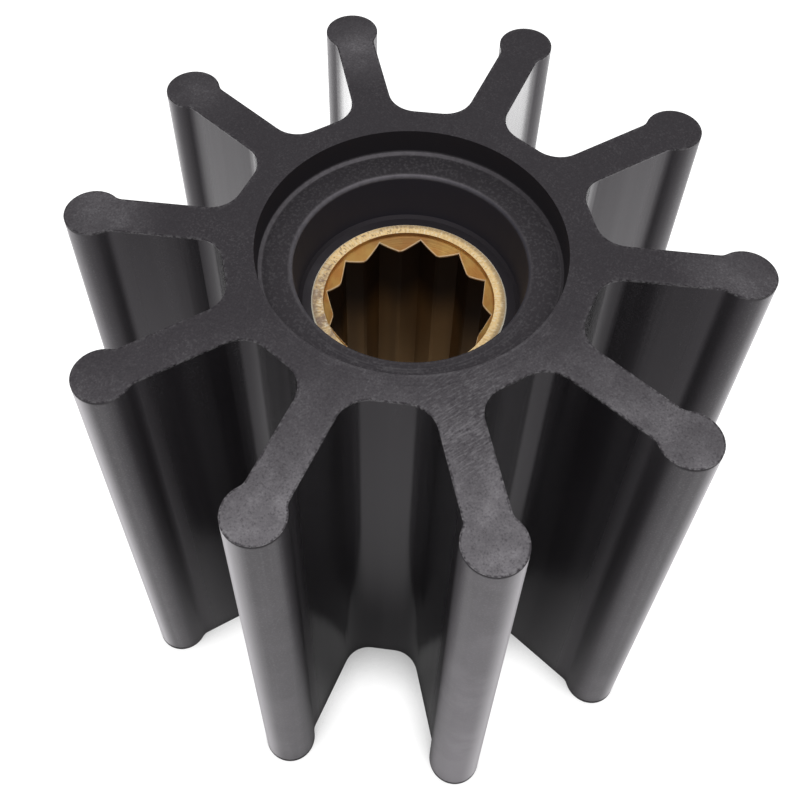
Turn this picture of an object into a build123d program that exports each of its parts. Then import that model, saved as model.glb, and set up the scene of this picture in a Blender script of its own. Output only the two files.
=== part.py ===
from build123d import *
import os
from math import cos, pi, radians, sin, sqrt, tan

# Rubber pump impeller, in millimetres.
# A rotor of black rubber, with straight blades that end in round bulbs, is moulded around a brass
# insert. The pump's splined shaft drives the insert. Both ends are alike, so the impeller goes on
# either way round.
# The axis is Z and the lower end face lies on Z = 0. A blade and a spline tooth point along +X.

# Rotor, seen along its axis
outer_diameter = 65.0
blade_count = 10
blade_thickness = 3.9
bulb_diameter = 5.4
bulb_fillet = 1.2
hub_across_flats = 34.1
root_fillet = 2.9

# Rotor, along its axis
width = 55.0

# Recess in each end face: a shallow step, then a socket down to the insert
recess_diameter = 28.6
recess_depth = 2.9
recess_draft = 0.2
recess_foot_chamfer = 0.2
socket_diameter = 21.9
socket_depth = 8.5
socket_draft = 0.4
socket_lip_round = 0.35
socket_foot_chamfer = 0.3

# Brass insert, standing a little proud of the rubber at each end
insert_diameter = 18.8
insert_proud = 0.15
insert_edge_chamfer = 0.15

# Splined bore, with a round relief and a conical lead-in at each end
spline_count = 12
spline_root_diameter = 16.1
spline_tip_diameter = 14.7
tooth_tip_width = 0.4
relief_diameter = 16.5
relief_depth = 0.5
lead_in_angle = 35.0

# Two points nearer than this are the same corner
corner_tolerance = 0.01

# Worked out from the sizes above
blade_step = 2 * pi / blade_count
bulb_radius = bulb_diameter / 2
bulb_centre = outer_diameter / 2 - bulb_radius
half_blade = blade_thickness / 2
flat_distance = hub_across_flats / 2
insert_floor = socket_depth - insert_proud
insert_length = width - 2 * insert_floor


def turned(radius, angle):
    """Point at a radius and an angle about the axis."""
    return (radius * cos(angle), radius * sin(angle))


def hub_outline():
    """Hub of flat sides, one flat between each two blades, with a corner under each blade."""
    corner = flat_distance / cos(blade_step / 2)
    return Polygon(*[turned(corner, k * blade_step) for k in range(blade_count)], align=None)


def blade_outline():
    """One straight blade along +X, from the axis to its bulb."""
    web = Pos(bulb_centre / 2, 0) * Rectangle(bulb_centre, blade_thickness)
    return web + Pos(bulb_centre, 0) * Circle(bulb_radius)


def corners_on_circle(outline, radius):
    """Corners of a flat outline that lie on one circle about the axis."""
    return outline.vertices().filter_by(lambda corner: abs(Vector(corner).length - radius) < corner_tolerance)


def corner_near(outline, point):
    """The corner of a flat outline that lies nearest to a point."""
    return outline.vertices().sort_by_distance(point)[0]


def rotor_section():
    """Hub, blades and bulbs seen along the axis, with every inside corner filleted."""
    section = hub_outline()
    for k in range(blade_count):
        section += Rot(0, 0, k * 360 / blade_count) * blade_outline()

    # a flank meets a flat of the hub at its root, and its bulb at its neck
    root_x = (flat_distance - half_blade * sin(blade_step / 2)) / cos(blade_step / 2)
    neck_x = bulb_centre - sqrt(bulb_radius**2 - half_blade**2)
    section = fillet(corners_on_circle(section, sqrt(root_x**2 + half_blade**2)), root_fillet)
    return fillet(corners_on_circle(section, sqrt(neck_x**2 + half_blade**2)), bulb_fillet)


def end_recess():
    """What is hollow above the insert at the upper end, as a solid of revolution."""
    rim = (recess_diameter / 2, width)
    recess_foot = (recess_diameter / 2 - recess_draft, width - recess_depth)
    lip = (socket_diameter / 2, width - recess_depth)
    socket_foot = (socket_diameter / 2 - socket_draft, width - socket_depth)
    profile = Polygon((0, width), rim, recess_foot, lip, socket_foot, (0, width - socket_depth), align=None)
    profile = chamfer(corner_near(profile, recess_foot), recess_foot_chamfer)
    profile = chamfer(corner_near(profile, socket_foot), socket_foot_chamfer)
    profile = fillet(corner_near(profile, lip), socket_lip_round)
    return revolve(Plane.XZ * profile, Axis.Z)


def rubber_body():
    """Moulded rotor: blades, hub, both end recesses and the seat that grips the insert."""
    body = extrude(rotor_section(), width)
    recess = end_recess()
    body -= recess
    body -= mirror(recess, Plane.XY.offset(width / 2))
    return body - Pos(0, 0, width / 2) * Cylinder(insert_diameter / 2, width)


def spline_outline():
    """Bore with a V groove between each two teeth and a narrow flat on each tooth."""
    tip = spline_tip_diameter / 2
    root = spline_root_diameter / 2
    step = 2 * pi / spline_count
    half_tip = tooth_tip_width / spline_tip_diameter
    points = []
    for k in range(spline_count):
        points.append(turned(tip, k * step - half_tip))
        points.append(turned(tip, k * step + half_tip))
        points.append(turned(root, (k + 0.5) * step))
    return Polygon(*points, align=None)


def lead_in():
    """Round relief at the lower end of the bore, closed by a cone with its point on the axis."""
    radius = relief_diameter / 2
    point = relief_depth + radius / tan(radians(lead_in_angle))
    profile = Polygon((0, 0), (radius, 0), (radius, relief_depth), (0, point), align=None)
    return revolve(Plane.XZ * profile, Axis.Z)


def splined_insert():
    """Turned brass bush with a broached spline through it."""
    bush = Pos(0, 0, insert_length / 2) * Cylinder(insert_diameter / 2, insert_length)
    bush = chamfer(bush.edges().filter_by(GeomType.CIRCLE), insert_edge_chamfer)
    bush -= extrude(spline_outline(), insert_length)
    bush -= lead_in()
    bush -= mirror(lead_in(), Plane.XY.offset(insert_length / 2))
    return Pos(0, 0, insert_floor) * bush


os.makedirs("parts", exist_ok=True)
export_step(rubber_body(), "parts/rubber_body.step")
export_step(splined_insert(), "parts/splined_insert.step")
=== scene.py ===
# %% [markdown]
# # A rubber pump impeller
#
# A flexible impeller is a rotor of black rubber with a splined brass insert moulded into its hub.
# Its solids come ready made and are already the right shape and size, so this lesson adds what the
# eye reads as material: the ground end faces, the glossy moulded sides, the scuffed bulbs and the
# machined brass, with some painted light and shade in their colours. A plain studio follows, with a
# pale floor, one softbox and the camera.

# %% Load the solids
from math import cos, pi, radians, sin, sqrt, tan

import bmesh
import bpy
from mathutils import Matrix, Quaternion, Vector


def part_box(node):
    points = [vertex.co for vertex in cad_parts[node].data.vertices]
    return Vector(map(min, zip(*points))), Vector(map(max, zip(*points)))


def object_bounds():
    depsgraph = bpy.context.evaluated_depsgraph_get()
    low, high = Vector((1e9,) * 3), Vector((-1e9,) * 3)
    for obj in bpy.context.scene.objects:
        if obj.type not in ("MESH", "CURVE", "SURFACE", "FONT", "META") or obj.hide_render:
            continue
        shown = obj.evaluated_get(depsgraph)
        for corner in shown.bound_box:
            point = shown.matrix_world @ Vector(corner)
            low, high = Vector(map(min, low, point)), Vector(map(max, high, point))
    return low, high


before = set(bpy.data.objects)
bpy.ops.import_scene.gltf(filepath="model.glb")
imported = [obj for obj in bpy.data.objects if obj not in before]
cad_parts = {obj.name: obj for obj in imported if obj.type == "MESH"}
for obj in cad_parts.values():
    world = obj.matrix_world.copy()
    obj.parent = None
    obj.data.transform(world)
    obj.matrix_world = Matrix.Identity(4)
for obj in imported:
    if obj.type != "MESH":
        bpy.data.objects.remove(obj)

cad_low, cad_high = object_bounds()
body_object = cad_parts["rubber_body"]
insert_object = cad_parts["splined_insert"]
mm = 0.001
for name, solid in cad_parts.items():
    print(name, len(solid.data.polygons), "triangles", [round(v / mm, 2) for v in solid.dimensions])

# %% [markdown]
# ## The sizes that the finishes follow
#
# A finish has to start and stop where the shape does: the grinding wheel touched only the two end
# faces, and the tarnish sits deep in the bore. The overall sizes are read from the solids. The few
# that the boxes can't tell are written here once, in millimetres, and every material uses them.

# %% Sizes of the rotor
width = cad_high.z - cad_low.z
tip_radius = (cad_high.x - cad_low.x) / 2
hub_wall = 14.5 * mm
ledge_radius = 14.1 * mm
hub_socket = 10.95 * mm
blade_count = 10
blade_step = 2 * pi / blade_count
half_blade = 1.95 * mm
bulb_radius = 2.7 * mm
bulb_centre = tip_radius - bulb_radius
bulb_fillet = 1.2 * mm
flat_distance = 17.05 * mm
root_fillet = 2.9 * mm
print("width", round(width / mm, 2), "mm, tip radius", round(tip_radius / mm, 2), "mm")

# %% Sizes of the insert
insert_low, insert_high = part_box("splined_insert")
insert_end = insert_high.z
relief_radius = 8.25 * mm
relief_depth = 0.5 * mm
lead_in_angle = radians(35)
tooth_count = 12
# a tooth's corner, along the middle of the tooth and off it, and the direction square to its flank
tooth_tip = (7.347 * mm, 0.2 * mm)
groove_slope = (0.975, 0.2221)
print("insert", round((insert_end - insert_low.z) / mm, 2), "mm long")

# %% [markdown]
# ## Shader maths as Python
#
# A procedural material is a sum of many small masks, and a node for each plus and times sign soon
# hides the idea. The class below wraps a socket, so that `1 - mask * 0.5` adds its own Math nodes.
# Everything else, such as a noise or a bump, comes from one method that takes the node's type, its
# settings and what goes into its sockets.

# %% A socket that Python can add and multiply
class Wire:
    """A value that comes out of a node, with Python's operators on it."""

    def __init__(self, finish, socket):
        self.finish = finish
        self.socket = socket

    def math(self, operation, *others):
        values = {0: self}
        values.update({k + 1: other for k, other in enumerate(others)})
        return self.finish.node("Math", {"operation": operation}, values)

    def __add__(self, other):
        return self.math("ADD", other)

    def __sub__(self, other):
        return self.math("SUBTRACT", other)

    def __rsub__(self, other):
        return self.finish.node("Math", {"operation": "SUBTRACT"}, {0: other, 1: self})

    def __mul__(self, other):
        return self.math("MULTIPLY", other)

    def __truediv__(self, other):
        return self.math("DIVIDE", other)

    __radd__ = __add__
    __rmul__ = __mul__

    def rises(self, start, end):
        """0 up to start, 1 from end on, and smooth between them."""
        settings = {"interpolation_type": "SMOOTHSTEP"}
        limits = {"Value": self, "From Min": start, "From Max": end}
        return self.finish.node("MapRange", settings, limits)

    def falls(self, start, end):
        """1 up to start, 0 from end on, and smooth between them."""
        return 1 - self.rises(start, end)


# %% A material with one method for its nodes
class Finish:
    """A material, and the one method that adds nodes to it."""

    def __init__(self, name):
        self.material = bpy.data.materials.new(name)
        self.material.use_nodes = True
        self.tree = self.material.node_tree
        self.tree.nodes.clear()
        coordinates = self.tree.nodes.new("ShaderNodeTexCoord")
        self.place = Wire(self, coordinates.outputs["Object"])
        self.facing = Wire(self, coordinates.outputs["Normal"])

    def node(self, kind, settings=None, sockets=None, output=0):
        """Adds a node: its settings first, then a value or a Wire for each socket."""
        made = self.tree.nodes.new("ShaderNode" + kind)
        for name, value in (settings or {}).items():
            setattr(made, name, value)
        for name, value in (sockets or {}).items():
            if isinstance(value, Wire):
                self.tree.links.new(value.socket, made.inputs[name])
            else:
                made.inputs[name].default_value = value
        return Wire(self, made.outputs[output])

    def along(self, vector):
        """The X, Y and Z of a vector, as three values."""
        split = self.node("SeparateXYZ", sockets={"Vector": vector}).socket.node
        return [Wire(self, output) for output in split.outputs]

    def joined(self, **axes):
        """A vector from values for some of its X, Y and Z."""
        return self.node("CombineXYZ", sockets=axes)

    def stretched(self, x=1.0, y=1.0, z=1.0):
        """The place on the object, with each axis scaled, for patterns that run one way."""
        return self.node("Mapping", sockets={"Vector": self.place, "Scale": (x, y, z)})

    def noise(self, size, detail=2.0, vector=None, **sockets):
        """Cloudy noise from 0 to 1 whose spots are about as large as size, in metres."""
        values = {"Vector": vector or self.place, "Scale": 1 / size, "Detail": detail}
        values.update({name.replace("_", " "): value for name, value in sockets.items()})
        return self.node("TexNoise", sockets=values)

    def blend(self, factor, first, second):
        """From one colour to another as the factor goes from 0 to 1."""
        colours = {0: factor, 6: first, 7: second}
        return self.node("Mix", {"data_type": "RGBA"}, colours, output=2)

    def bump(self, height, depth):
        """Fine relief: the height is a value from 0 to 1, and depth is its full size in metres."""
        return self.node("Bump", sockets={"Height": height, "Distance": depth, "Strength": 1.0})

    def surface(self, **sockets):
        """Closes the material with a Principled surface."""
        values = {name.replace("_", " "): value for name, value in sockets.items()}
        self.close(self.node("BsdfPrincipled", sockets=values))

    def close(self, shader):
        """Closes the material with any shader."""
        output = self.tree.nodes.new("ShaderNodeOutputMaterial")
        self.tree.links.new(shader.socket, output.inputs["Surface"])


def dress(solid, finish):
    """Puts a finish on a solid in place of its plain colour."""
    solid.data.materials.clear()
    solid.data.materials.append(finish.material)
    print(solid.name, "wears", finish.material.name, "with", len(finish.tree.nodes), "nodes")


# %% [markdown]
# ## Where each finish lies on the rubber
#
# The impeller leaves the mould glossy and black. Its two ends are then ground to length, which
# leaves them matt and grey, with a fine torn edge all round. The bulbs rub on the pump's housing,
# so their outer sides are scuffed lighter, with painted light laid over them: painted reflections
# and a painted sheen. Each of these is a mask worked out from the place on the object and the way
# the surface faces, so it can't slide off the shape.

# %% Masks on the rubber
def span(p, q):
    """The length of a step of p one way and q square to it."""
    return (p * p + q * q).math("SQRT")


rubber = Finish("moulded_rubber")
x, y, z = rubber.along(rubber.place)
facing_x, facing_y, facing_z = rubber.along(rubber.facing)
facing_up = facing_z.math("ABSOLUTE")
radius = span(x, y)
from_end = (z - cad_low.z).math("MINIMUM", cad_high.z - z)

square = facing_up.rises(0.8, 0.95)
ground = square * from_end.falls(0.05 * mm, 0.2 * mm)
insert_ring = square * radius.falls(hub_socket - 0.3 * mm, hub_socket)
ledge = square - ground - insert_ring
side = 1 - square
bulb_side = side * radius.rises(tip_radius - 3.4 * mm, tip_radius - 1.1 * mm)
neck_side = side * radius.rises(tip_radius - 7.0 * mm, tip_radius - 4.5 * mm)
inside = side * radius.falls(hub_wall, hub_wall + 0.2 * mm)
outside = side - inside
recess_wall = inside * radius.rises(12.5 * mm, 13 * mm)
print("masks for the faces and walls:", len(rubber.tree.nodes), "nodes so far")

# %% [markdown]
# ## Thin lines along the edges
#
# A real part shows its edges as lines, and here they are painted: painted highlights along the foot
# of the ledge and along its lip, a pale edge at the ends of the sides that is partly a torn burr
# and partly a painted highlight, and a dark line where a bulb meets a ground face, with a painted
# contact shadow along its foot. The chamfer at the floor of the socket carries painted shade. Each
# line is a narrow band of height or radius, a few tenths of a millimetre wide, cut out of the masks
# above.

# %% Bands along the edges: painted highlights, a painted contact shadow and painted shade
# a pale edge at the ends of the sides: partly a torn burr, partly a painted highlight
edge = outside * from_end.falls(0.06 * mm, 0.26 * mm)
# a dark line at both ends of each bulb, and a painted contact shadow along its foot
bulb_foot_shadow = bulb_side * (z - cad_low.z).falls(0.35 * mm, 0.65 * mm)
bulb_edge = bulb_side * from_end.falls(0.12 * mm, 0.42 * mm)
bulb_edge = bulb_edge.math("MAXIMUM", bulb_foot_shadow)
# painted shade on the chamfer at the floor of the socket, dimming its highlight
foot = inside * facing_up.rises(0.3, 0.6)
foot = foot * radius.falls(hub_socket - 0.2 * mm, hub_socket - 0.1 * mm)
# painted highlights along the foot of the ledge and along its lip
ledge_foot = radius.rises(ledge_radius - 0.45 * mm, ledge_radius - 0.2 * mm)
ledge_foot = ledge_foot * from_end.rises(2.4 * mm, 2.7 * mm)
ledge_lip = radius.falls(hub_socket + 0.15 * mm, hub_socket + 0.5 * mm)
ledge_lip = ledge_lip * from_end.falls(3.1 * mm, 3.4 * mm)
line = (ledge_foot + ledge_lip) * radius.falls(hub_wall, hub_wall + 0.1 * mm) * (1 - ground)
print("with the lines:", len(rubber.tree.nodes), "nodes so far")

# %% [markdown]
# ## How far it is to the outline
#
# Grinding drags the skin of the rubber outwards, so torn crumbs gather along the outline of the end
# faces. One blade's outline is three arcs and two straight lines. The place is folded into that one
# blade, and each stretch of its outline says how far away it is.

# %% Folding a place into one blade or tooth
def choose(test, first, second):
    """The first value where the test is 0, and the second where it is 1."""
    return first + test * (second - first)


def folded(x, y, radius, count):
    """A place turned into the nearest of count like sectors: along its middle, and off it."""
    step = 2 * pi / count
    turn = y.math("ARCTAN2", x) / step
    turn = (turn - turn.math("ROUND")) * step
    return radius * turn.math("COSINE"), (radius * turn.math("SINE")).math("ABSOLUTE")


# %% Distance to the outline of the end faces
# p runs along a blade and q across it: the middles of the root's arc and of the neck's arc
half_step = blade_step / 2
root_q = half_blade + root_fillet
root_p = (flat_distance + root_fillet - root_q * sin(half_step)) / cos(half_step)
root_end = root_q * cos(half_step) - root_p * sin(half_step)
neck_q = half_blade + bulb_fillet
neck_p = bulb_centre - sqrt((bulb_radius + bulb_fillet) ** 2 - neck_q ** 2)
neck_end = neck_p + (bulb_centre - neck_p) * bulb_fillet / (bulb_fillet + bulb_radius)

p, q = folded(x, y, radius, blade_count)
to_flank = span((p - root_p).math("MINIMUM", 0.0), q - root_q) - root_fillet
to_flat = flat_distance - (p * cos(half_step) + q * sin(half_step))
to_neck = span(p - neck_p, q - neck_q) - bulb_fillet
to_bulb = bulb_radius - span(p - bulb_centre, q)
on_flat = (q * cos(half_step) - p * sin(half_step)).math("GREATER_THAN", root_end)
from_outline = choose(on_flat, to_flank, to_flat)
from_outline = choose(p.math("GREATER_THAN", neck_p), from_outline, to_neck)
from_outline = choose(p.math("GREATER_THAN", neck_end), from_outline, to_bulb)
crumbs = ground * from_outline.falls(0.04 * mm, 0.34 * mm)
outline_dark = from_outline.falls(0.06 * mm, 0.24 * mm)
print("root arc", round(root_p / mm, 2), "mm and neck arc", round(neck_p / mm, 2), "mm along")

# %% [markdown]
# ## Grain, smears and streaks
#
# Three scales of noise keep a large black surface from looking like plastic. Grain of a sixth to
# half a millimetre is the torn skin of ground rubber. Patches of a few millimetres are dust and
# handling. Streaks along the axis are the draw marks of the mould, and only the sides carry them.

# %% Patterns on the rubber
fine = rubber.noise(0.17 * mm, 1.0)
grain = rubber.noise(0.26 * mm, 2.0)
speckle = rubber.noise(0.55 * mm, 3.0)
clouds = rubber.noise(2.2 * mm, 3.0)
patches = rubber.noise(5 * mm, 4.0, Roughness=0.62).rises(0.42, 0.66)
streaks = rubber.noise(0.8 * mm, 3.0, rubber.stretched(z=0.02))
wide_streaks = rubber.noise(2.4 * mm, 2.0, rubber.stretched(z=0.03))
print("with the patterns:", len(rubber.tree.nodes), "nodes so far")

# %% [markdown]
# ## Scratches and rings
#
# The wheel left one patch of straight scratches where a blade meets the hub, and turning left fine
# rings on one part of the hub and its ledge. Both are noise that is squeezed one way: across the
# scratches, and along the radius.

# %% Marks of grinding and turning
def out_to(x, y, side):
    """How far a place lies out from the axis on one side, given as an angle about the axis."""
    return x * cos(side) + y * sin(side)


def past(x, y, side):
    """How far a place lies anticlockwise of the line from the axis to that side."""
    return y * cos(side) - x * sin(side)


# the side with dust and painted light on the ends, the painted reflection on the bulbs, and the
# rings
lit_and_dusty_side = radians(30)
scratch_side = radians(150)
scratch_place = (14.5 * mm, 12.5 * mm)
scratch_reach = 8.5 * mm
scratch_squeeze = 0.24
along_scratch = out_to(x, y, scratch_side) * scratch_squeeze
scratch_vector = rubber.joined(X=along_scratch, Y=past(x, y, scratch_side))
scratches = rubber.noise(0.18 * mm, 1.5, scratch_vector)
from_scratches = span(x - scratch_place[0], y - scratch_place[1])
scratched = ground * from_scratches.falls(0.3 * scratch_reach, scratch_reach)

ring_waviness = 0.6 * mm
rings = rubber.noise(0.22 * mm, 2.0, rubber.joined(X=radius, Y=clouds * ring_waviness))
turned_part = square * radius.falls(15 * mm, 17 * mm)
turned_part = turned_part * out_to(x, y, lit_and_dusty_side).rises(2 * mm, 14 * mm)
print("scratches reach", round(scratch_reach / mm, 1), "mm")

# %% [markdown]
# ## Rubbing, and a painted reflection on the sides
#
# One group of bulbs, round an azimuth of about 30 degrees, is rubbed most. The sides that turn
# away from the middle of the group are painted pale: a painted reflection of the bright floor
# beside them. It could be a picture on the surface, but masks from the place and the facing are
# enough, and the painted reflection stays on the object from wherever it is seen.

# %% Rubbed bulbs, and the painted reflection on their sides
near_lit_side = radians(20)
closest_side = radians(36)
across_side = radians(117)
left_blade = radians(288)
group_reach = 27 * mm
swap_width = 4 * mm
# painted light: the bulbs towards this side are painted paler
near_lit_share = out_to(x, y, near_lit_side).rises(0.0, tip_radius)
# the rubbed group, where the coat is thickest and the painted reflection on the bulbs is strongest
rubbed_and_lit = out_to(x, y, lit_and_dusty_side).rises(3 * mm, 14 * mm)
# the closest bulb, painted palest as painted light, most of all near its foot
closest = out_to(x, y, closest_side).rises(26.5 * mm, 29.5 * mm)
leftmost = out_to(x, y, left_blade).rises(20 * mm, 28 * mm)
across = out_to(x, y, across_side)
which_half = (across / swap_width).math("MAXIMUM", -1.0).math("MINIMUM", 1.0)
turned_out = out_to(facing_x, facing_y, across_side) * which_half
# a painted reflection of the bright floor: the sides of the bulbs that turn away from the middle of
# the group are painted pale
painted_side_reflection = (rubbed_and_lit + 0.35 * leftmost) * turned_out.rises(0.15, 1.05)
painted_side_reflection = painted_side_reflection * (0.6 + 0.6 * across.math("ABSOLUTE") / group_reach + 0.35 * closest)
print("with the wear:", len(rubber.tree.nodes), "nodes so far")

# %% [markdown]
# ## Dust and painted light on the end faces
#
# Dust lies thickest on the near side and in a few smudges where fingers held a blade's end. The
# same masks carry painted light as well, which makes the near blades' ends paler as if lit from the
# front. Each smudge is a soft round spot, so a short list of places and strengths says it all.

# %% Smudges of dust, with painted light
# for each smudge of dust and painted light: the blade, how far out it lies in millimetres, and its
# strength
lit_smudges = [(3, 29, 0.34), (6, 27, 0.40), (2, 22, 0.15), (7, 29, 0.15), (8, 29, 0.42), (0, 30, 0.15)]
lit_smudge_reach = 7 * mm
# paler towards the near side: dust, and painted light as if from the front
lit_and_dusty_share = out_to(x, y, lit_and_dusty_side).rises(-2 * mm, 32 * mm)
dust_and_light = lit_and_dusty_share * lit_and_dusty_share
for blade, distance, strength in lit_smudges:
    lit_smudge_x = distance * mm * cos(blade * blade_step)
    lit_smudge_y = distance * mm * sin(blade * blade_step)
    dust_and_light = dust_and_light + span(x - lit_smudge_x, y - lit_smudge_y).falls(0.0, lit_smudge_reach) * strength
print(len(lit_smudges), "smudges of", round(lit_smudge_reach / mm), "mm")

# %% [markdown]
# ## The greys
#
# Clean rubber is close to black. What is paler is a thin layer of something else, such as dust,
# scuffed skin and torn crumbs, and painted light: a painted sheen, painted reflections and painted
# highlights. So there is one colour for each, and none for each place.

# %% Greys of the rubber
black = (0.010, 0.0090, 0.0104, 1)
inner_black = (0.017, 0.0175, 0.026, 1)
ground_grey = (0.021, 0.0194, 0.0216, 1)
ledge_grey = (0.019, 0.0176, 0.0194, 1)
# the grey of dust, and of the painted light on the near ends
dust_and_light_grey = (0.222, 0.2125, 0.225, 1)
# the grey of the scuffed skin, which also carries painted light
scuffed_and_lit_grey = (0.240, 0.223, 0.244, 1)
torn_grey = (0.30, 0.293, 0.303, 1)
# the grey of the painted sheen and the painted reflection on the bulbs
painted_sheen_grey = (0.62, 0.595, 0.625, 1)
# the grey of the painted highlights along the ledge, and of the paler band round the insert
line_grey = (0.14, 0.132, 0.142, 1)
print("9 greys, from", min(black[:3]), "to", max(painted_sheen_grey[:3]))

# %% [markdown]
# ## The moulded sides
#
# The flanks keep their black and their gloss, so they show mostly what they mirror. The bulbs carry
# the scuffed skin with painted light over it: paler on the near bulbs and towards the foot, as if
# lit by the floor, a painted reflection where they turn away, and a painted sheen along their
# outlines.

# %% Colour of the sides
up_share = z / width
scuffed_and_lit = bulb_side * (0.5 + 0.25 * patches + 0.35 * clouds)
# painted light: the near bulbs and the closest bulb are painted paler
scuffed_and_lit = scuffed_and_lit * (0.85 - 0.5 * rubbed_and_lit + 0.5 * near_lit_share * near_lit_share + 0.9 * closest)
# painted light: paler towards the foot, most on the closest bulb, as if lit by the floor
scuffed_and_lit = scuffed_and_lit * (1.35 - 0.8 * up_share) + bulb_side * closest * (1 - up_share) * 0.6
side_colour = rubber.blend(0.436 * scuffed_and_lit + neck_side * 0.07, black, scuffed_and_lit_grey)

bulb_specks = bulb_side * (fine.rises(0.5, 0.72) * 0.16 + streaks.rises(0.42, 0.66) * 0.10)
side_colour = rubber.blend(bulb_specks, side_colour, torn_grey)
# a painted sheen along the bulbs' outlines, from the Layer Weight's facing, added to the painted
# reflection on their turned-away sides
grazing = rubber.node("LayerWeight", sockets={"Blend": 0.5}, output="Facing")
painted_sheen = bulb_side * (painted_side_reflection + 0.5 * grazing.rises(0.74, 1.0))
side_colour = rubber.blend(painted_sheen, side_colour, painted_sheen_grey)
side_specks = outside * (wide_streaks.rises(0.4, 0.65) * 0.03 + fine.rises(0.52, 0.75) * 0.04)
side_colour = rubber.blend(side_specks, side_colour, torn_grey)
side_colour = rubber.blend(inside - recess_wall, side_colour, inner_black)
print("with the sides:", len(rubber.tree.nodes), "nodes so far")

# %% [markdown]
# ## The ground ends
#
# A ground end is grey and dusty, painted paler on the near blades as if lit from the front, and
# full of specks. Dark ones are pits between the grains, pale ones are torn skin, and both gather
# where the wheel scratched and along the outline.

# %% Colour of the ground ends
# dust and painted light on the ends
dust_and_light_amount = dust_and_light * (0.26 + 0.34 * patches + 0.42 * clouds)
end_colour = rubber.blend(dust_and_light_amount, ground_grey, dust_and_light_grey)
dark_specks = 0.4 * fine.falls(0.25, 0.47) + 0.8 * outline_dark
dark_specks = dark_specks + scratched * 0.4 * scratches.falls(0.3, 0.47)
end_colour = rubber.blend(dark_specks, end_colour, black)
light_specks = 0.05 * grain.rises(0.5, 0.75) + 0.15 * fine.rises(0.5, 0.75)
light_specks = light_specks * (0.6 + 0.8 * patches) + 0.28 * crumbs * grain.rises(0.4, 0.65)
light_specks = light_specks + 0.24 * scratched * scratches.rises(0.5, 0.7)
end_colour = rubber.blend(light_specks * (0.45 + dust_and_light), end_colour, torn_grey)
colour = rubber.blend(ground, side_colour, end_colour)
print("with the ends:", len(rubber.tree.nodes), "nodes so far")

# %% [markdown]
# ## The recess and the lines
#
# The ledge was never ground, so it stays darker and plainer than the ends. Last come the rings, a
# paler band in patches on the rubber round the insert, and the thin lines over everything else:
# painted highlights and pale edges, and dark lines with a painted contact shadow and painted shade.

# %% Colour of the recess, and the lines over it
ring_paling_side = radians(310)
ledge_colour = rubber.blend(grain.rises(0.45, 0.75) * 0.10, ledge_grey, torn_grey)
colour = rubber.blend(ledge, colour, ledge_colour)
colour = rubber.blend(turned_part * rings.rises(0.5, 0.7) * 0.10, colour, torn_grey)
colour = rubber.blend(turned_part * rings.falls(0.3, 0.48) * 0.30, colour, black)
# paler in patches towards one side of the rubber round the insert
ring_paling = out_to(x, y, ring_paling_side).rises(-2 * mm, 10 * mm)
ring_paling = insert_ring * ring_paling * (0.5 + 0.5 * patches) * 0.2
colour = rubber.blend(ring_paling, colour, line_grey)
# painted highlights along the ledge's foot and lip, brightest on one side
highlit_side = (0 - y - x * 0.3).rises(-6 * mm, 12 * mm)
painted_highlight_line = line * (0.25 + 0.7 * highlit_side) * (0.35 + 0.65 * speckle)
colour = rubber.blend(painted_highlight_line, colour, line_grey)
# the pale edge: partly torn burr, partly a painted highlight
colour = rubber.blend(edge * (1 - bulb_side) * grain.rises(0.35, 0.65) * 0.4, colour, torn_grey)
# dark lines at the bulbs' ends with a painted contact shadow along their foot, and painted shade on
# the socket's chamfer
colour = rubber.blend((bulb_edge + foot).math("MINIMUM", 1.0), colour, black)
print("with the recess:", len(rubber.tree.nodes), "nodes so far")

# %% [markdown]
# ## One rubber surface from all the masks
#
# Colour alone leaves rubber flat. The ground ends are rough and the moulded sides are nearly
# mirrors, and only a wall that mirrors the floor looks like moulded rubber. The bulbs get a thin
# coat as well, because their rubbed skin shines and is pale at once.

# %% The rubber's surface
side_roughness = 0.15 + 0.05 * streaks + 0.06 * wide_streaks
side_roughness = side_roughness + 0.17 * bulb_side + 0.22 * neck_side + 0.45 * inside
end_roughness = 0.46 + 0.14 * speckle
relief = ground * (grain * 0.5 + fine * 0.3)
relief = relief + (1 - ground) * (square + bulb_side) * grain * 0.35
relief = relief + outside * (streaks * 0.10 + wide_streaks * 0.45)
relief_height = 0.05 * mm
rubber.surface(
    Base_Color=colour,
    Roughness=choose(square, side_roughness, end_roughness),
    IOR=1.46,
    Specular_Tint=(0.985, 0.885, 1.0, 1),
    Coat_Weight=bulb_side * (1 - bulb_edge) * (0.2 + 0.3 * rubbed_and_lit),
    Coat_IOR=1.7,
    Coat_Roughness=0.3,
    Normal=rubber.bump(relief, relief_height),
)
dress(body_object, rubber)

# %% [markdown]
# ## Where each finish lies on the brass
#
# The insert is turned, then its spline is broached. The flat end ring was faced off with a coarse
# tool and later knocked about, the lead-in cone is a clean cut, and the spline itself is dark from
# the mould's heat. The masks follow the depth below the end and below the cone.

# %% Masks on the brass
brass = Finish("machined_brass")
x, y, z = brass.along(brass.place)
facing_up = brass.along(brass.facing)[2].math("ABSOLUTE")
radius = span(x, y)
depth = (insert_end - z).math("MINIMUM", z - insert_low.z)
cone_depth = relief_depth + (relief_radius - radius).math("MAXIMUM", 0.0) / tan(lead_in_angle)
below_cone = depth - cone_depth

end_ring = facing_up.rises(0.8, 0.95)
off_ring = 1 - end_ring
outer_half = radius.rises(8.7 * mm, 9.1 * mm)
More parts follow.
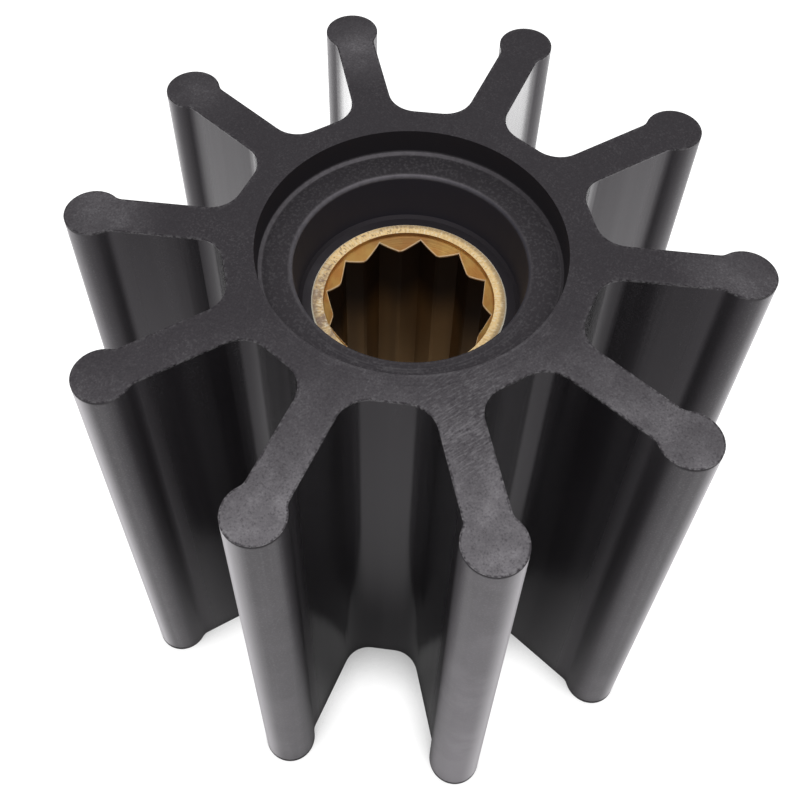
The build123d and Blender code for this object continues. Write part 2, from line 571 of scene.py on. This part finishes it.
# the chamfer round the insert, which gets a painted highlight
highlit_chamfer = off_ring * radius.rises(9.2 * mm, 9.3 * mm)
relief_wall = off_ring * radius.rises(relief_radius - 0.05 * mm, relief_radius)
relief_wall = relief_wall * depth.falls(relief_depth, relief_depth + 0.1 * mm)
on_cone = off_ring * below_cone.falls(0.01 * mm, 0.05 * mm) * radius.falls(8.15 * mm, 8.22 * mm)
in_bore = below_cone.rises(0.01 * mm, 0.05 * mm) * radius.falls(8.6 * mm, 8.7 * mm)
deep = in_bore * below_cone.rises(0.1 * mm, 0.25 * mm)
polished = in_bore * below_cone.rises(5 * mm, 12 * mm)
print("masks on the brass:", len(brass.tree.nodes), "nodes so far")

# %% [markdown]
# ## The bright edge of each tooth
#
# A bright line runs along each tooth, where the broach broke through the cone. It lies at the foot
# of the cone in the bore, and on the cone close to the flank of the groove, so the place is folded
# into one tooth as it was into one blade.

# %% Where the broach broke through
tooth_p, tooth_q = folded(x, y, radius, tooth_count)
from_groove = (tooth_p - tooth_tip[0]) * groove_slope[0]
from_groove = (from_groove - (tooth_q - tooth_tip[1]) * groove_slope[1]).math("ABSOLUTE")
tooth_edge = in_bore * below_cone.falls(0.05 * mm, 0.12 * mm)
tooth_edge = tooth_edge + on_cone * from_groove.falls(0.02 * mm, 0.10 * mm) * 0.6
print("an edge on each of", tooth_count, "teeth")

# %% [markdown]
# ## The brass itself
#
# Metal shows its colour only in what it mirrors, so the cone's base colour is bright, and tarnish
# is a darker, browner metal laid over it in patches. The faced ring is so rough that it scatters
# light as paint does, and it is made mostly not metallic. Pits and tool marks go into the bump.

# %% Patterns and colours of the brass
pits = brass.noise(0.25 * mm, 3.0)
blotches = brass.noise(1.3 * mm, 3.0)
flutes = brass.noise(3.0 * mm, 1.0, brass.stretched(z=0.05))
# nicks are about 0.2 mm wide, and 0.4 mm long across the ring
nick_vector = brass.joined(X=y.math("ARCTAN2", x) * 2.0, Y=radius * 120.0)
nicks = brass.noise(0.05, 2.0, nick_vector)
tool_marks = brass.noise(0.12 * mm, 1.0, brass.joined(X=radius, Y=x * 0.05))

pale_gold = (1.0, 0.72, 0.34, 1)
dull_gold = (0.44, 0.31, 0.16, 1)
dull_amber = (0.42, 0.20, 0.08, 1)
amber = (0.93, 0.47, 0.14, 1)
yellow = (1.0, 0.61, 0.19, 1)
rosy = (0.28, 0.195, 0.155, 1)
whitish = (1.0, 0.92, 0.74, 1)
dark_brown = (0.06, 0.036, 0.020, 1)
tarnish = (0.42, 0.25, 0.10, 1)
bright_edge = (1.0, 0.86, 0.62, 1)
print("10 colours of brass, from", dark_brown[:3], "to", whitish[:3])

# %% Colour of the cone and the end ring
# painted light and shade on the ring, by side: its outer half is painted duller except on the lit
# side, and the stained side and the knocked side are painted darker as well as marked
far_turn, lit_turn, stained_and_shaded_turn = radians(207), radians(258), radians(308)
far_middle = out_to(x, y, far_turn).rises(6.6 * mm, 8.2 * mm)
lit_part = out_to(x, y, lit_turn).rises(6.5 * mm, 8.6 * mm)
stained_and_shaded_part = out_to(x, y, stained_and_shaded_turn).rises(5 * mm, 8.5 * mm)
knocked_and_shaded_part = (0 - y - x * 0.2).rises(2 * mm, 9 * mm)
colour = brass.blend(blotches.rises(0.35, 0.65), amber, yellow)
colour = brass.blend(far_middle * 0.6, colour, dull_amber)
colour = brass.blend(end_ring, colour, pale_gold)
colour = brass.blend(end_ring * outer_half * (1 - lit_part) * 0.85, colour, dull_gold)
# a rosy stain in blotches, with painted shade on its side
stain_and_shade = (0.1 + 0.75 * stained_and_shaded_part) * (0.4 + 0.6 * blotches.rises(0.40, 0.62))
colour = brass.blend(end_ring * stain_and_shade, colour, rosy)
pale_nicks = end_ring * (1 - 0.6 * outer_half) * nicks.rises(0.5, 0.66) * 0.55
colour = brass.blend(pale_nicks, colour, whitish)
dark_nicks = end_ring * nicks.falls(0.36, 0.46) * (0.25 + 0.5 * knocked_and_shaded_part)
colour = brass.blend(dark_nicks, colour, rosy)
# a painted highlight: the chamfer is painted nearly white
colour = brass.blend(highlit_chamfer, colour, whitish)
print("with the ring:", len(brass.tree.nodes), "nodes so far")

# %% Colour of the bore, and the brass surface
bore_shine = polished * (0.55 + 0.45 * flutes.rises(0.35, 0.6))
colour = brass.blend(deep, colour, brass.blend(bore_shine, dark_brown, tarnish))
colour = brass.blend(tooth_edge * 0.9, colour, bright_edge)
scattering = (end_ring + tooth_edge + highlit_chamfer + 0.5 * on_cone).math("MINIMUM", 1.0)
brass_relief = (pits * 0.6 + nicks * 0.4) * end_ring + tool_marks * (1 - in_bore) * 0.25
brass_relief_height = 0.1 * mm
brass.surface(
    Base_Color=colour,
    Metallic=1 - 0.9 * scattering,
    Roughness=0.34 + 0.42 * end_ring + 0.3 * relief_wall + 0.12 * blotches + 0.1 * deep,
    Normal=brass.bump(brass_relief, brass_relief_height),
)
dress(insert_object, brass)

# %% [markdown]
# ## The floor
#
# Glossy rubber is mostly a picture of its surroundings. The camera looks down, so every upright
# wall mirrors the floor: bright out in the open, dim between the blades, and brighter still on the
# side of the window. Light Path tells the rays apart, so that the floor can be plain white to the
# camera and still keep the object's soft shadow.

# %% A flat sheet, and the kinds of ray
def plane(name, side, height):
    """A square lying flat, as its own mesh."""
    mesh = bpy.data.meshes.new(name)
    sheet = bmesh.new()
    bmesh.ops.create_grid(sheet, x_segments=1, y_segments=1, size=side / 2)
    bmesh.ops.translate(sheet, verts=sheet.verts, vec=(0, 0, height))
    sheet.to_mesh(mesh)
    sheet.free()
    made = bpy.data.objects.new(name, mesh)
    bpy.context.scene.collection.objects.link(made)
    return made


def sight(finish):
    """Two values: 1 for rays straight from the camera, and 1 for reflections and through glass."""
    path = finish.tree.nodes.new("ShaderNodeLightPath")
    kinds = ("Is Camera Ray", "Is Glossy Ray", "Is Transmission Ray")
    camera, glossy, through = (Wire(finish, path.outputs[name]) for name in kinds)
    return camera, (glossy + through).math("MINIMUM", 1.0)


# %% Zones of the floor
floor = plane("floor", 6.0, cad_low.z)
paper = Finish("white_paper")
straight, mirrored = sight(paper)
x, y, z = paper.along(paper.place)
reach = span(x, y)

# the paper runs up into the sky between these distances
sweep_start = 0.15
sweep_end = 0.60
far = reach.rises(sweep_start, sweep_end)

# shade under the object, and the darker line where it touches the paper
contact_reach = 7 * mm
touch_reach = 1.2 * mm
air = [
    paper.node("AmbientOcclusion", {"samples": 8}, {"Distance": distance}, output="AO")
    for distance in (contact_reach, touch_reach)
]
contact = air[0].falls(0.2, 0.8)
touch = air[1].falls(0.3, 0.9)

# sides of the floor that glow in reflections
window_side = radians(195)
behind_side = radians(215)
left_side = radians(297)
window = out_to(x, y, window_side).rises(-25 * mm, 35 * mm)
behind = out_to(x, y, behind_side).rises(40 * mm, 62 * mm)
left = out_to(x, y, left_side).rises(10 * mm, 40 * mm)
past_left = past(x, y, left_side)
left = left * past_left.rises(-32 * mm, -5 * mm) * past_left.falls(15 * mm, 50 * mm)
print("floor at", round(cad_low.z / mm, 2), "mm with", len(paper.tree.nodes), "nodes so far")

# %% [markdown]
# ## How bright the floor is, and to which rays
#
# The paper is one matt white. Straight from the camera a glow tops it up to plain white, less the
# shade under the object. In a reflection it is dimmer, most of all between the blades, and the
# window's side is brighter. From underneath it is see-through, so that the lower face can be seen.

# %% Levels of the paper
paper_white = 0.9
seen_share = 0.35
seen_glow = 1.0
contact_shade = 0.8
touch_shade = 0.8
mirrored_share = 0.70
gap_share = 0.28
gap_end = 20.5 * mm
open_start = 28 * mm
window_glow = 1.25
behind_glow = 0.65
left_glow = 0.30

mirrored_level = gap_share + (mirrored_share - gap_share) * reach.rises(gap_end, open_start)
mirrored_loss = mirrored * (1 - mirrored_level * (1 - touch * touch_shade))
matt_level = paper_white * (1 - straight * (1 - seen_share) - mirrored_loss)
mirrored_glow = window_glow * window + behind_glow * behind + left_glow * left
glow = straight * seen_glow * (1 - contact_shade * contact) + mirrored * mirrored_glow
print("paper reflects", paper_white, "of the light, and less by", mirrored_share, "when mirrored")

# %% The paper
levels = {"Red": matt_level, "Green": matt_level, "Blue": matt_level}
matt = paper.node("BsdfDiffuse", sockets={"Color": paper.node("CombineColor", sockets=levels)})
near_glow = paper.node("Emission", sockets={"Strength": glow})
near_paper = paper.node("AddShader", sockets={0: matt, 1: near_glow})
far_paper = paper.node("Emission")
sheet_mix = {0: far * (straight + mirrored), 1: near_paper, 2: far_paper}
from_above = paper.node("MixShader", sockets=sheet_mix)
underneath = paper.node("NewGeometry", output="Backfacing")
side_mix = {0: straight * underneath, 1: from_above, 2: paper.node("BsdfTransparent")}
paper.close(paper.node("MixShader", sockets=side_mix))
dress(floor, paper)

# %% [markdown]
# ## The sky
#
# An even grey sky fills the shadows. It is white to the camera alone, so the backdrop needs no
# extra light on the object.

# %% The sky
sky_level = 0.45
world = bpy.data.worlds.new("studio")
bpy.context.scene.world = world
world.use_nodes = True
background = world.node_tree.nodes["Background"]
path = world.node_tree.nodes.new("ShaderNodeLightPath")
level = world.node_tree.nodes.new("ShaderNodeMapRange")
level.inputs["To Min"].default_value = sky_level
level.inputs["To Max"].default_value = 1.0
world.node_tree.links.new(path.outputs["Is Camera Ray"], level.inputs["Value"])
world.node_tree.links.new(level.outputs[0], background.inputs["Strength"])
background.inputs["Color"].default_value = (1, 1, 1, 1)
print("sky at", sky_level, "of white")

# %% [markdown]
# ## The softbox
#
# One large square panel, high up and a little to one side, lights the end faces softly and gives
# the recess its shade. A large panel makes soft edges, which suits a dull black object.

# %% The softbox
def panel(name, side, power, place, aim):
    """A square panel of light that points at a spot."""
    made = bpy.data.objects.new(name, bpy.data.lights.new(name, "AREA"))
    made.data.shape = "SQUARE"
    made.data.size = side
    made.data.energy = power
    made.location = place
    made.rotation_euler = (Vector(aim) - made.location).to_track_quat("-Z", "Y").to_euler()
    bpy.context.scene.collection.objects.link(made)
    print(name, power, "watts over", side, "m")
    return made


panel("softbox", side=1.0, power=9.0, place=(0.25, 0.12, 1.18), aim=(0, 0, width))

# %% [markdown]
# ## The camera
#
# The place and lens come from the photo: ten blade ends at two heights leave only one place to
# stand. They also show that the photo is cut from a wider picture, whose middle lies up and to the
# left of the object's. The lens points there, and the shift brings the same cut into frame.

# %% The camera
view_azimuth = radians(26.78)
view_elevation = radians(51.20)
view_roll = radians(-1.30)
view_distance = 138.99 * mm
view_aim = Vector((-15.26, -14.15, 27.5)) * mm
lens_length = 52.10
lens_shift = (0.065, -0.1722)

camera = bpy.data.objects.new("camera", bpy.data.cameras.new("camera"))
towards = Vector((
    cos(view_azimuth) * cos(view_elevation),
    sin(view_azimuth) * cos(view_elevation),
    sin(view_elevation),
))
camera.location = view_aim + towards * view_distance
level_view = (-towards).to_track_quat("-Z", "Y")
camera.rotation_mode = "QUATERNION"
camera.rotation_quaternion = level_view @ Quaternion((0, 0, 1), view_roll)
camera.data.lens = lens_length
camera.data.shift_x, camera.data.shift_y = lens_shift
camera.data.clip_start = 0.01
bpy.context.scene.collection.objects.link(camera)
bpy.context.scene.camera = camera
bpy.context.scene.view_settings.view_transform = "Standard"
print("camera at", [round(v / mm, 1) for v in camera.location], "mm")
